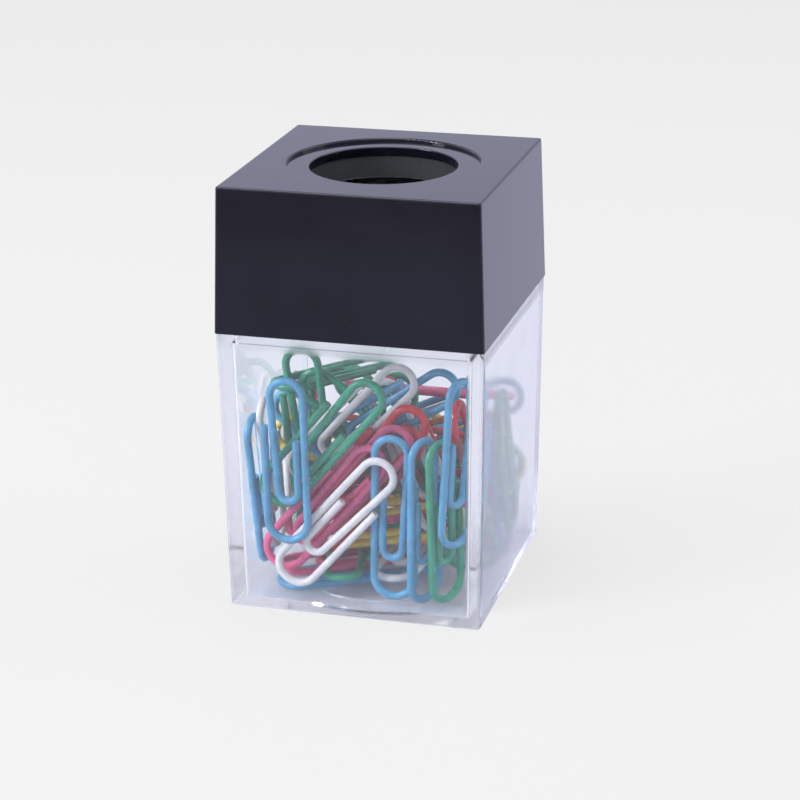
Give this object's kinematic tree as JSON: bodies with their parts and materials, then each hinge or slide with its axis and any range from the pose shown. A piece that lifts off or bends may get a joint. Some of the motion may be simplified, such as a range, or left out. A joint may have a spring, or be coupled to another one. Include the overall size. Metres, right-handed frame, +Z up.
{
  "type": "magnetic paper clip holder",
  "caption": "Clear square box of loose coloured paper clips under a black cap with a round dispensing hole ringed by a magnet.",
  "frame": {"origin": "centre of the box's foot, on the table", "axes": "+Z up through the dispensing hole, -Y out of the front wall, +X to the right seen from the front"},
  "size_m": [0.043, 0.043, 0.0694],
  "materials": {
    "clear_plastic": "clear, polished polystyrene",
    "black_plastic": "gloss black",
    "ferrite": "satin sintered ferrite",
    "coat_blue": "blue vinyl-coated steel wire",
    "coat_green": "green vinyl-coated steel wire",
    "coat_orange": "orange vinyl-coated steel wire",
    "coat_pink": "pink vinyl-coated steel wire",
    "coat_red": "red vinyl-coated steel wire",
    "coat_white": "white vinyl-coated steel wire",
    "coat_yellow": "yellow vinyl-coated steel wire"
  },
  "bodies": {
    "box": {"clear_box": "clear_plastic"},
    "cap_body": {"cap": "black_plastic", "magnet_ring": "ferrite"},
    "clip_heap": {"clip_blue_back_4": "coat_blue", "clip_blue_core_5": "coat_blue", "clip_blue_flat": "coat_blue", "clip_blue_floor_1": "coat_blue", "clip_blue_front_3": "coat_blue", "clip_blue_front_left": "coat_blue", "clip_blue_front_right": "coat_blue", "clip_blue_left_edge": "coat_blue", "clip_blue_right_2": "coat_blue", "clip_blue_top_right": "coat_blue", "clip_blue_upright_middle": "coat_blue", "clip_blue_upright_right": "coat_blue", "clip_green_back_2": "coat_green", "clip_green_back_5": "coat_green", "clip_green_core_3": "coat_green", "clip_green_core_6": "coat_green", "clip_green_diagonal": "coat_green", "clip_green_floor_2": "coat_green", "clip_green_front_2": "coat_green", "clip_green_front_6": "coat_green", "clip_green_left_1": "coat_green", "clip_green_left_4": "coat_green", "clip_green_right_1": "coat_green", "clip_green_top_left": "coat_green", "clip_green_top_rising": "coat_green", "clip_green_upright_right": "coat_green", "clip_orange_back_3": "coat_orange", "clip_orange_core_4": "coat_orange", "clip_orange_lower": "coat_orange", "clip_pink_diagonal": "coat_pink", "clip_pink_flat": "coat_pink", "clip_pink_floor_3": "coat_pink", "clip_pink_left_2": "coat_pink", "clip_pink_lower_diagonal": "coat_pink", "clip_pink_top_flat": "coat_pink", "clip_red_core_1": "coat_red", "clip_red_diagonal": "coat_red", "clip_red_front_4": "coat_red", "clip_red_lower_diagonal": "coat_red", "clip_red_right_3": "coat_red", "clip_white_diagonal": "coat_white", "clip_white_floor": "coat_white", "clip_white_front_1": "coat_white", "clip_white_left_3": "coat_white", "clip_white_left_edge": "coat_white", "clip_white_top": "coat_white", "clip_yellow_back_1": "coat_yellow", "clip_yellow_core_2": "coat_yellow", "clip_yellow_front_5": "coat_yellow", "clip_yellow_lower": "coat_yellow"},
    "next_clip": {"clip_green_next_out": "coat_green"}
  },
  "joints": [
    {"name": "cap_lift", "type": "slide", "parent": "box", "child": "cap_body", "axis": [0, 0, 1], "range_m": [0, 0.04]},
    {"name": "clips_shift", "type": "slide", "parent": "box", "child": "clip_heap", "axis": [0, 0, 1], "range_m": [0, 0.018]},
    {"name": "clip_dispense", "type": "slide", "parent": "clip_heap", "child": "next_clip", "axis": [0, 0, 1], "range_m": [0, 0.062]}
  ]
}
